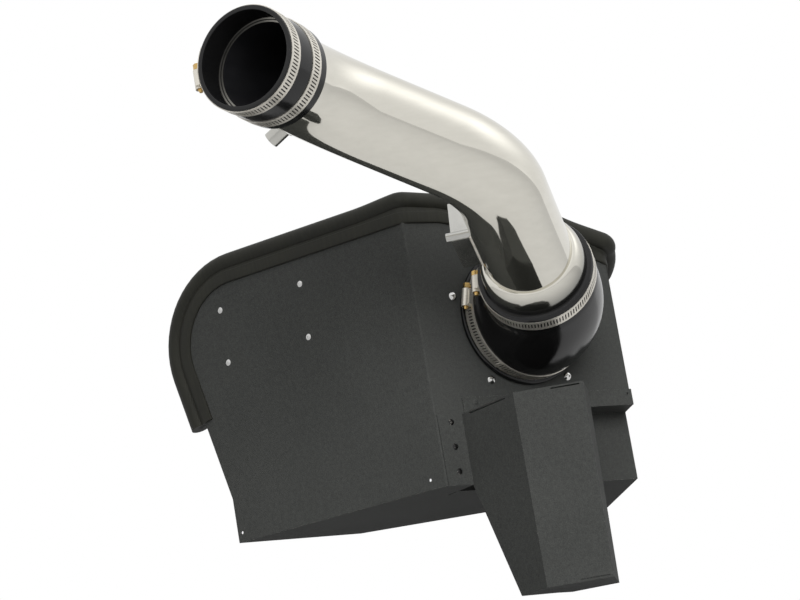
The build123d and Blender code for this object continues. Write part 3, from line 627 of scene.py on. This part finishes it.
def moulded_plastic(name, dark, light, roughness, grain):
    """Black moulded part with a fine spark texture."""
    plastic = Finish(name)
    spark = plastic.noise(plastic.place_on_piece(), grain, detail=2.0)
    flow = plastic.noise(plastic.place_on_piece(), 18, detail=3.0)
    plastic.raise_surface(spark, 0.0003, 0.4)
    plastic.drive("Base Color", plastic.blend(flow, dark, light))
    plastic.drive("Roughness", spark * 0.2 + roughness)
    return plastic.material


def filter_cotton():
    """Oiled red cotton gauze under a square wire mesh."""
    cotton = Finish("filter_cotton")
    spot = cotton.place_on_piece()
    x, y, z = cotton.split(spot)
    wire_pitch = 0.0016
    wire_share = 0.16
    waves = 2 * pi / wire_pitch
    warp = ((x + z) * waves).wave().size() < wire_share
    weft = (y * waves * 0.5).wave().size() < wire_share
    wires = warp.larger(weft)
    oil = cotton.noise(spot, 60, detail=4.0)
    fibres = cotton.noise(spot, 1500, detail=2.0)
    cloth = cotton.blend(oil, tone(88, 14, 18), tone(140, 30, 32))
    cotton.drive("Base Color", cotton.blend(wires, cloth, tone(150, 148, 144)))
    cotton.drive("Metallic", wires)
    cotton.drive("Roughness", 0.75 - wires * 0.4)
    cotton.raise_surface(wires * 0.6 + fibres * 0.4, 0.0005, 0.6)
    return cotton.material


def screen_wire():
    """Expanded metal support cone: bright strands, with the openings between them painted as dark red
    diamonds, a painted shade on the cotton behind.
    """
    screen = Finish("screen_steel")
    x, y, z = screen.split(screen.place_on_piece())
    strand_pitch = 0.006
    strand_share = 0.35
    waves = 2 * pi / strand_pitch
    rise = ((x + z + y) * waves).wave().size()
    fall = ((x + z - y) * waves).wave().size()
    strand = rise.smaller(fall) < strand_share
    # Painted shade: the openings are painted dark red, standing in for the shaded cotton seen through them.
    screen.drive("Base Color", screen.blend(strand, tone(40, 12, 12), tone(190, 188, 182)))
    screen.drive("Metallic", strand)
    screen.drive("Roughness", 0.8 - strand * 0.45)
    screen.raise_surface(strand, 0.0004, 0.5)
    return screen.material


coat = powder_coat()
seal = seal_rubber()
silicone = coupling_rubber()
mirror_alloy = polished_alloy()
lining = tube_lining()
machined = machined_alloy("machined_alloy", tone(184, 183, 177), tone(208, 207, 201), 0.1)
milled = machined_alloy("milled_alloy", tone(176, 176, 172), tone(204, 203, 198), 0.12)
weld = weld_metal()
strip = brushed_steel("clamp_steel", tone(206, 201, 190), tone(228, 224, 214), 0.22, (1, 1, 9), bright=0.75)
screw_steel = brushed_steel("bright_screw", tone(200, 200, 198), tone(226, 226, 224), 0.08, (1, 9, 1))
gold_zinc = zinc_plate("plated_screw", tone(196, 160, 96), tone(224, 192, 128))
rivet_bright = brushed_steel("bright_rivet", tone(186, 186, 184), tone(214, 214, 212), 0.16, (1, 1, 1))
rivet_black = rivet_paint()
adapter_black = moulded_plastic("adapter_plastic", tone(20, 20, 21), tone(34, 34, 35), 0.35, 900)
filter_black = moulded_plastic("filter_rubber", tone(18, 18, 18), tone(36, 36, 35), 0.5, 600)
cotton = filter_cotton()
screen = screen_wire()


# Intake tube
def nipple_place():
    """Where the breather nipple leaves the tube, with Z along it."""
    angle = radians(nipple_angle)
    out = mouth_place.to_3x3() @ Vector((cos(angle), sin(angle), 0))
    return across(mouth + leg_1 * nipple_distance + out * tube_radius, out)


def pad_place():
    """The sensor pad's frame: X up, Y away from its face, Z down the leg."""
    return across(bell_start - leg_3 * pad_distance, leg_3)


def tube_hoops(wall):
    """Hoops down the tube's skin and over its rolled end."""
    radius = tube_radius - wall
    line = centre_line(tube_route, bend_radii)
    hoops = [hoop(place, radius) for place in line]
    reach = bell_length - wall / 2
    rise = bell_radius - tube_radius
    last = line[-1]
    for i in range(1, bell_steps + 1):
        swing = pi / 2 * i / bell_steps
        hoops.append(hoop(last, radius + rise * sin(swing), bell_length - reach * cos(swing)))
    end = bell_length + bell_tail
    chamfer = -tube_end_thickness if wall == 0 else tube_end_thickness
    hoops.append(hoop(last, radius + rise, end - tube_end_thickness))
    hoops.append(hoop(last, radius + rise + chamfer, end))
    return hoops


def cut_through(piece, places_and_sizes):
    """Drills round holes through a piece and keeps the result as its mesh."""
    drills = []
    for place, radius, length in places_and_sizes:
        bm = bmesh.new()
        ends = {"radius1": radius, "radius2": radius, "depth": length, "segments": drill_segments}
        bmesh.ops.create_cone(bm, cap_ends=True, matrix=place, **ends)
        drill = bpy.data.objects.new("drill", finished_mesh(bm, "drill"))
        bpy.context.scene.collection.objects.link(drill)
        hole = piece.modifiers.new("hole", "BOOLEAN")
        hole.object = drill
        hole.solver = "EXACT"
        drills.append(drill)
    bpy.context.view_layer.update()
    graph = bpy.context.evaluated_depsgraph_get()
    mesh = bpy.data.meshes.new_from_object(piece.evaluated_get(graph))
    piece.modifiers.clear()
    piece.data = mesh
    for drill in drills:
        bpy.data.objects.remove(drill)


def make_tube():
    outer = tube_hoops(0)
    inner = tube_hoops(tube_wall)
    inside = range(len(outer), len(outer) + len(inner) - 1)
    bm = walled(outer + inner[::-1], segments=tube_segments, lining=inside)
    tube = dressed(finished_mesh(bm, "tube"), "tube", (mirror_alloy, lining))
    pad = pad_place() @ moved(x=(pad_low + pad_high) / 2, y=-tube_radius, z=pad_length / 2)
    pad_bore = pad @ Matrix.Rotation(pi / 2, 4, "X")
    nipple_bore = nipple_radius - nipple_wall
    drills = [(pad_bore, pad_bore_radius, pad_bore_depth), (nipple_place(), nipple_bore, nipple_bore_depth)]
    cut_through(tube, drills)
    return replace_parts(tube, "intake_tube")


def bead(places, width, height):
    """A stitched weld: overlapping flattened drops along a line of places."""
    bm = bmesh.new()
    around, along = weld_drop_segments
    for place in places:
        drop = place @ Matrix.Diagonal((width, height, width * weld_drop_share, 1))
        bmesh.ops.create_uvsphere(bm, u_segments=around, v_segments=along, radius=1, matrix=drop)
    return bm


def line_of_places(points, step):
    """Places every step along a line of points, with Z along it."""
    places = []
    left = 0.0
    for start, end in zip(points, points[1:]):
        way = end - start
        length = way.length
        turn = way.to_track_quat("Z", "Y").to_matrix().to_4x4()
        while left < length:
            places.append(Matrix.Translation(start + way * (left / length)) @ turn)
            left += step
        left -= length
    return places


def make_pad_weld():
    """The weld that runs round the sensor pad where it meets the tube."""
    place = pad_place()
    near = []
    for i in range(pad_weld_points + 1):
        x = pad_low + (pad_high - pad_low) * i / pad_weld_points
        near.append(Vector((x, -sqrt(tube_radius**2 - x**2), 0)))
    far = [point + Vector((0, 0, pad_length)) for point in reversed(near)]
    points = [place @ point for point in near + far + near[:1]]
    bm = bead(line_of_places(points, pad_weld_step), pad_weld_width, pad_weld_height)
    dressed(finished_mesh(bm, "pad_weld"), "pad_weld", weld, crease=180)


def make_nipple_weld():
    """The weld round the breather nipple's collar, on the skin of the bend."""
    place = nipple_place()
    line = centre_line(tube_route, bend_radii, degrees_per_step=0.5)
    centres = [step.translation for step in line]
    points = []
    for i in range(nipple_weld_points + 1):
        angle = 2 * pi * i / nipple_weld_points
        side = Vector((nipple_collar_radius * cos(angle), nipple_collar_radius * sin(angle), 0))
        spot = place @ side
        nearest = min(centres, key=lambda centre: (spot - centre).length)
        lower = place @ Vector((0, 0, -1)) - place.translation
        drop = (spot - nearest).length - tube_radius
        points.append(spot + lower * drop)
    bm = bead(line_of_places(points, nipple_weld_step), nipple_weld_size, nipple_weld_size)
    dressed(finished_mesh(bm, "nipple_weld"), "nipple_weld", weld, crease=180)


# Couplings
def make_throttle_coupling():
    """Straight silicone sleeve with rounded rims and a step inside where the tube ends."""
    end = throttle_coupling_length
    outer = throttle_outer - skin_gap
    neck = throttle_neck
    bore = throttle_bore
    step = throttle_neck_length
    rim = throttle_rim
    lip_length, lip_height = throttle_lip
    middle_length, middle_height = throttle_lip_middle
    profile = [(step, neck), (lip_length, neck)]
    profile += [(middle_length, neck + middle_height), (0.0, neck + lip_height)]
    for i in range(rim_steps + 1):
        swing = pi / 2 * i / rim_steps
        profile.append((rim - rim * cos(swing), outer - rim + rim * sin(swing)))
    for i in range(rim_steps + 1):
        swing = pi / 2 * i / rim_steps
        profile.append((end - rim + rim * sin(swing), outer - rim + rim * cos(swing)))
    profile += [(end, bore + throttle_chamfer), (end - throttle_chamfer, bore), (step, bore)]
    bm = turned(mouth_place, profile, segments=tube_segments)
    mesh = finished_mesh(bm, "throttle_sleeve")
    sleeve = dressed(mesh, "throttle_sleeve", silicone, crease=60)
    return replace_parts(sleeve, "throttle_coupling")


def elbow_hoops(top, foot, with_bead):
    """Hoops down one skin of the elbow, growing smoothly from its top to its foot."""
    reach = elbow_corner.y - outlet.y
    tangent = -reach - elbow_straight
    turn = leg_3.angle(Vector((0, 1, 0)))
    radius = tangent / tan(turn / 2)
    begin = bell_start + leg_3 * elbow_mouth
    end = outlet - Vector((0, elbow_straight, 0))
    line = centre_line([begin, elbow_corner, end], [radius], degrees_per_step=1.5)[:-1]
    bend = line[1:]
    mouth_step = elbow_mouth_step if with_bead else 0
    hoops = [hoop(line[0], top - mouth_step), hoop(line[0], top, elbow_mouth_step)]
    for i, place in enumerate(bend):
        hoops.append(hoop(place, top + (foot - top) * eased(i / (len(bend) - 1))))
    rim = outlet_place
    if not with_bead:
        return hoops + [hoop(rim, foot, -elbow_foot_gap)]
    shoulder = -elbow_foot_gap - elbow_bead_width
    hoops.append(hoop(rim, foot, shoulder - elbow_bead_root))
    for i in range(elbow_bead_steps + 1):
        swing = pi * i / elbow_bead_steps
        along = shoulder + elbow_bead_width / 2 * (1 - cos(swing))
        lift = elbow_bead * min(1.0, elbow_bead_side + elbow_bead_crown * sin(swing))
        hoops.append(hoop(rim, foot + lift, along))
    return hoops


def make_elbow():
    outer = elbow_hoops(elbow_top_outer, elbow_foot_outer, True)
    inner = elbow_hoops(elbow_top_bore, elbow_foot_bore, False)
    bm = walled(outer + inner[::-1], segments=tube_segments)
    elbow = dressed(finished_mesh(bm, "elbow"), "elbow", silicone, crease=60)
    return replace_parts(elbow, "elbow_coupling")


# Worm drive clamps
def slotted_cell(bm, radius, count):
    """One pitch of the strip with its slanted slot, laid flat round the clamp's radius."""
    pitch = 2 * pi * radius / count
    grid = bmesh.ops.create_grid(bm, x_segments=3, y_segments=3, size=0.5)["verts"]
    bmesh.ops.scale(bm, vec=(pitch, band_width, 1), verts=grid)
    middle = [face for face in bm.faces if face.calc_center_median().length < 0.01]
    corners = list(middle[0].verts)
    bmesh.ops.delete(bm, geom=middle, context="FACES_ONLY")
    for vert in corners:
        side = 1 if vert.co.y > 0 else -1
        across_slot = 1 if vert.co.x > 0 else -1
        vert.co.x = across_slot * slot_width / 2 + side * slot_slant / 2
        vert.co.y = side * slot_length / 2
    bmesh.ops.bevel(
        bm,
        geom=corners,
        offset=slot_corner,
        offset_type="OFFSET",
        segments=2,
        profile=0.5,
        affect="VERTICES",
        material=-1,
    )
    for vert in bm.verts:
        angle = vert.co.x / radius
        vert.co = Vector((radius * cos(angle), radius * sin(angle), vert.co.y))


def strip_round(radius, cells, whole):
    """Slotted strip bent to a radius: a closed band, or a part that runs either way."""
    bm = bmesh.new()
    slotted_cell(bm, radius, whole)
    cell = bm.verts[:] + bm.edges[:] + bm.faces[:]
    sweep = {"angle": 2 * pi * cells / whole, "steps": abs(cells)}
    bmesh.ops.spin(bm, geom=cell, axis=(0, 0, 1), cent=(0, 0, 0), use_duplicate=True, **sweep)
    bmesh.ops.remove_doubles(bm, verts=bm.verts, dist=strip_merge_gap)
    bmesh.ops.recalc_face_normals(bm, faces=bm.faces)
    bm.faces.ensure_lookup_table()
    outward = bm.faces[0]
    centre = outward.calc_center_median()
    if outward.normal.dot(Vector((centre.x, centre.y, 0))) < 0:
        bmesh.ops.reverse_faces(bm, faces=bm.faces)
    bmesh.ops.solidify(bm, geom=bm.faces[:], thickness=-band_thickness)
    bmesh.ops.recalc_face_normals(bm, faces=bm.faces)
    return bm


def make_band(name, place, radius, start, housing_angle, tail):
    """A slotted strip closed round the hose, and its free end beyond the housing."""
    inner = radius + band_gap
    whole = round(2 * pi * inner / slot_pitch)
    seat = place @ Matrix.Rotation(radians(housing_angle), 4, "Z") @ moved(z=start + band_width / 2)
    bm = strip_round(inner, whole, whole)
    bm.transform(seat)
    band = dressed(finished_mesh(bm, name), name + "_strip", strip, crease=40)
    cells = round(tail / slot_pitch)
    bm = strip_round(inner + band_thickness + tail_gap, cells, whole)
    bm.transform(seat)
    free = dressed(finished_mesh(bm, name + "_tail"), name + "_tail", strip, crease=40)
    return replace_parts(band, name), free


make_tube()
make_pad_weld()
make_nipple_weld()
make_throttle_coupling()
make_elbow()
lower_start = -(elbow_foot_gap + elbow_bead_width + elbow_lower_setback + band_width)
# Each clamp: its axis, the hose's radius, where it starts, its housing's angle and its free end's length
clamps = {
    "throttle_clamp_front": (mouth_place, throttle_outer, throttle_front_start, 267, tail_length),
    "throttle_clamp_rear": (mouth_place, throttle_outer, throttle_rear_start, 320, tail_length),
    "elbow_clamp_upper": (bell_place, elbow_top_outer, elbow_upper_start, 273, tail_length),
    "elbow_clamp_lower": (outlet_place, elbow_foot_outer, lower_start, 285, -3 * tail_length),
    "filter_clamp": (outlet_place, elbow_foot_outer, filter_start, 126, tail_length),
}
for name, (place, radius, start, angle, tail) in clamps.items():
    make_band(name + "_band", place, radius, start, angle, tail)
    soften_node(name + "_housing", strip, 0.25)
    soften_node(name + "_screw", gold_zinc, 0.2)


# Edge seal
def filled_in(places, step):
    """The same places with others between them, at most about a step apart."""
    filled = [places[0]]
    for start, end in zip(places, places[1:]):
        parts = max(1, round((end.translation - start.translation).length / step))
        for i in range(1, parts + 1):
            place = end.copy()
            place.translation = start.translation.lerp(end.translation, i / parts)
            filled.append(place)
    return filled


def rear_run(length, height):
    """Distance along a side wall of its raked rear edge at a height."""
    return length + rear_rake * (height - upright_height)


def swell(spot, centre, reach):
    """A share that is 1 at a centre and dies away smoothly to 0 at a reach."""
    return eased(max(0.0, 1 - (spot - centre).length / reach))


def seal_places():
    """Places round the upper edges: X level and inwards, Y off the sheet's edge, Z along it."""
    half_turn = radians(180 - corner_angle) / 2
    left_way = Vector((cos(radians(corner_angle)), sin(radians(corner_angle)), 0))
    right_way = Vector((-left_way.x, left_way.y, 0))
    front_way = Vector((1, 0, 0))
    inset = sheet / 2 / cos(half_turn)
    to_middle = Vector((sin(half_turn), cos(half_turn), 0)) * inset
    left_fold = Vector((-half_front, front_y, 0)) + to_middle
    right_fold = Vector((half_front, front_y, 0)) + Vector((-to_middle.x, to_middle.y, 0))
    knee = 2 * half_front - knee_setback
    right_rear = rear_run(right_length, right_wall_height)
    stops = [
        (left_fold, left_way, rear_run(left_length, seal_end_height), seal_end_height),
        (left_fold, left_way, rear_run(left_length, box_height), box_height),
        (left_fold, left_way, 0, box_height),
        (left_fold, front_way, level_top, box_height),
        (left_fold, front_way, knee, knee_height),
        (right_fold, right_way, 0, right_fold_height),
        (right_fold, right_way, right_fall_run, right_wall_height),
        (right_fold, right_way, right_rear, right_wall_height),
        (right_fold, right_way, rear_run(right_length, seal_end_height), seal_end_height),
    ]
    shift = sheet / 2 * tan(half_turn)
    points = [fold + way * max(0.0, run - shift) + UP * height for fold, way, run, height in stops]
    bends = [
        left_corner_radius,
        seal_fold_bend,
        edge_bend,
        edge_bend,
        seal_fold_bend,
        edge_bend,
        right_corner_radius,
    ]
    middle = (points[0] + points[-1]) / 2
    left_corner = points[2]
    right_corner = (points[5] + points[6]) / 2
    for place in filled_in(centre_line(points, bends, seal_turn_step), seal_step):
        spot = place.translation
        way = (place.to_3x3() @ UP).normalized()
        inwards = way.cross(UP).normalized()
        if inwards.dot(middle - spot) < 0:
            inwards.negate()
        lean = seal_lean - seal_right_roll * swell(spot, right_corner, seal_right_reach)
        rise = seal_rise + seal_left_lift * swell(spot, left_corner, seal_left_reach)
        yield placed(spot, inwards, way), lean, rise


def make_seal():
    """The trim: a round bulb, the neck that carries it and the channel that grips the sheet."""
    bulb, neck, channel = [], [], []
    half = seal_leg_half_width
    leg = (seal_leg + seal_cap) / 2
    for place, lean, rise in seal_places():
        slant = Matrix.Identity(4)
        slant[0][1] = lean / rise
        bulb.append(hoop(place @ moved(lean, rise), seal_bulb_radius))
        neck.append(place @ slant @ moved(y=rise / 2) @ Matrix.Diagonal((half, rise / 2, 1, 1)))
        channel.append(place @ moved(y=seal_cap - leg) @ Matrix.Diagonal((half, leg, 1, 1)))
    mesh = finished_mesh(drawn(bulb, seal_bulb_segments), "seal_bulb")
    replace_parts(dressed(mesh, "seal_bulb", seal, crease=60), "edge_seal")
    for name, sections in (("seal_neck", neck), ("seal_channel", channel)):
        mesh = finished_mesh(drawn(sections, seal_leg_segments, seal_leg_squareness), name)
        dressed(mesh, name, seal, crease=60)


make_seal()

# Sheet metal, fixings and filter
sheet_edges = {"filter_box": 0.3, "recess_pan": 0.3, "air_scoop": 0.45, "side_bracket": 0.3}
for name, edge_radius in sheet_edges.items():
    soften_node(name, coat, edge_radius)
soften_node("sensor_pad", milled, 0.5, steps=3)
finish_node("breather_nipple", machined)
finish_node("bracket_rivets", rivet_bright)
finish_node("scoop_rivets", rivet_black)
finish_node("pan_rivets", coat)
finish_node("outlet_adapter", adapter_black)
finish_node("adapter_screws", screw_steel)
finish_node("adapter_nuts", screw_steel)
finish_node("filter_base", filter_black)
finish_node("filter_cap", filter_black)
finish_node("filter_media", cotton)
finish_node("filter_screen", screen)


# Studio
def light_the_world(glows):
    """The world: white where it is seen, soft glows in mirrors, and a plain light elsewhere."""
    world = bpy.data.worlds.new("studio")
    bpy.context.scene.world = world
    studio = Shading(world)
    studio.tree.nodes.clear()
    way = studio.node("TexCoord", {}, {}, "Generated")
    x, y, z = [studio.node("SeparateXYZ", {}, {"Vector": way}, axis) for axis in "XYZ"]
    mirrored = mirror_level
    for azimuth, rise, spread, strength in glows:
        flat = cos(radians(rise))
        toward = Vector((sin(radians(azimuth)) * flat, -cos(radians(azimuth)) * flat, sin(radians(rise))))
        facing = (x * toward.x + y * toward.y + z * toward.z).larger(0.0)
        mirrored = facing.power(spread) * strength + mirrored
    seen = studio.node("LightPath", {}, {}, "Is Camera Ray")
    glossy = studio.node("LightPath", {}, {}, "Is Glossy Ray")
    level = mirrored * glossy + (1 - glossy) * plain_light
    level = level * (1 - seen) + seen
    light = studio.node("Background", {}, {"Color": (1, 1, 1, 1), "Strength": level}, "Background")
    studio.node("OutputWorld", {}, {"Surface": light}, None)


def lay_floor():
    """A pale floor under the lowest piece, clear when it is looked at from below."""
    bm = bmesh.new()
    bmesh.ops.create_grid(bm, x_segments=1, y_segments=1, size=floor_half_size)
    bmesh.ops.translate(bm, vec=(0, 0, floor_height), verts=bm.verts)
    floor = bpy.data.objects.new("floor", finished_mesh(bm, "floor"))
    bpy.context.scene.collection.objects.link(floor)
    pale = Finish("pale_floor", Roughness=0.9, Base_Color=(0.5, 0.5, 0.5, 1))
    seen = pale.node("LightPath", {}, {}, "Is Camera Ray")
    under = pale.node("NewGeometry", {}, {}, "Backfacing")
    clear = pale.node("BsdfTransparent", {}, {}, "BSDF")
    glossy = pale.node("LightPath", {}, {}, "Is Glossy Ray")
    white = pale.node("Emission", {}, {"Color": (1, 1, 1, 1), "Strength": 1.0}, "Emission")
    solid = Value(pale, pale.shader.outputs["BSDF"])
    whitening = (glossy + seen) * floor_whitening
    paler = pale.node("MixShader", {}, {"Fac": whitening, 1: solid, 2: white}, "Shader")
    mixed = pale.node("MixShader", {}, {"Fac": seen * under, 1: paler, 2: clear}, "Shader")
    pale.tree.links.new(mixed.socket, pale.tree.nodes["Material Output"].inputs["Surface"])
    floor.data.materials.append(pale.material)


def softbox(name, spot, target, size, power):
    """A large lamp whose light fades towards its edges, aimed at the piece."""
    light = bpy.data.lights.new(name, "AREA")
    light.shape = "RECTANGLE"
    light.size, light.size_y = size
    light.spread = radians(lamp_spread)
    light.energy = power
    lamp = bpy.data.objects.new(name, light)
    lamp.location = spot
    lamp.rotation_mode = "QUATERNION"
    lamp.rotation_quaternion = (Vector(target) - Vector(spot)).to_track_quat("-Z", "Y")
    lamp.visible_glossy = False
    bpy.context.scene.collection.objects.link(lamp)


def aim_camera():
    """The photograph's own view: a long lens from below and to the left, slightly rolled."""
    azimuth = radians(view_azimuth)
    rise = radians(view_rise)
    roll = radians(view_roll)
    ahead = Vector((sin(azimuth) * cos(rise), cos(azimuth) * cos(rise), sin(rise)))
    right = Vector((cos(azimuth), -sin(azimuth), 0))
    above = right.cross(ahead)
    x_way = right * cos(roll) - above * sin(roll)
    y_way = right * sin(roll) + above * cos(roll)
    turn = Matrix((x_way, y_way, -ahead)).transposed()
    lens = bpy.data.cameras.new("camera")
    lens.lens = lens_length
    lens.sensor_width = sensor_width
    lens.clip_start = 0.05
    lens.clip_end = 50
    camera = bpy.data.objects.new("camera", lens)
    camera.rotation_mode = "QUATERNION"
    camera.rotation_quaternion = turn.to_quaternion()
    camera.location = view_spot
    bpy.context.scene.collection.objects.link(camera)
    bpy.context.scene.camera = camera


# Each glow: azimuth from -Y towards +X, rise, narrowness and strength
light_the_world([(60, 38, 14, 0.7), (66, -22, 30, 0.5), (-40, 60, 10, 0.25)])
lay_floor()
# Each softbox: its spot, what it is aimed at and its size, in metres, and its power in watts
softbox("right", (1.5, -1.4, 1.1), (-0.15, -0.3, 0.25), (1.5, 1.9), 0.8)
softbox("overhead", (-0.5, -0.9, 1.9), (-0.1, -0.2, 0.2), (2.0, 1.6), 7)
softbox("front", (-1.0, -2.3, 0.7), (0.0, -0.1, 0.1), (1.8, 1.4), 13.5)
aim_camera()
bpy.context.scene.view_settings.view_transform = "Standard"
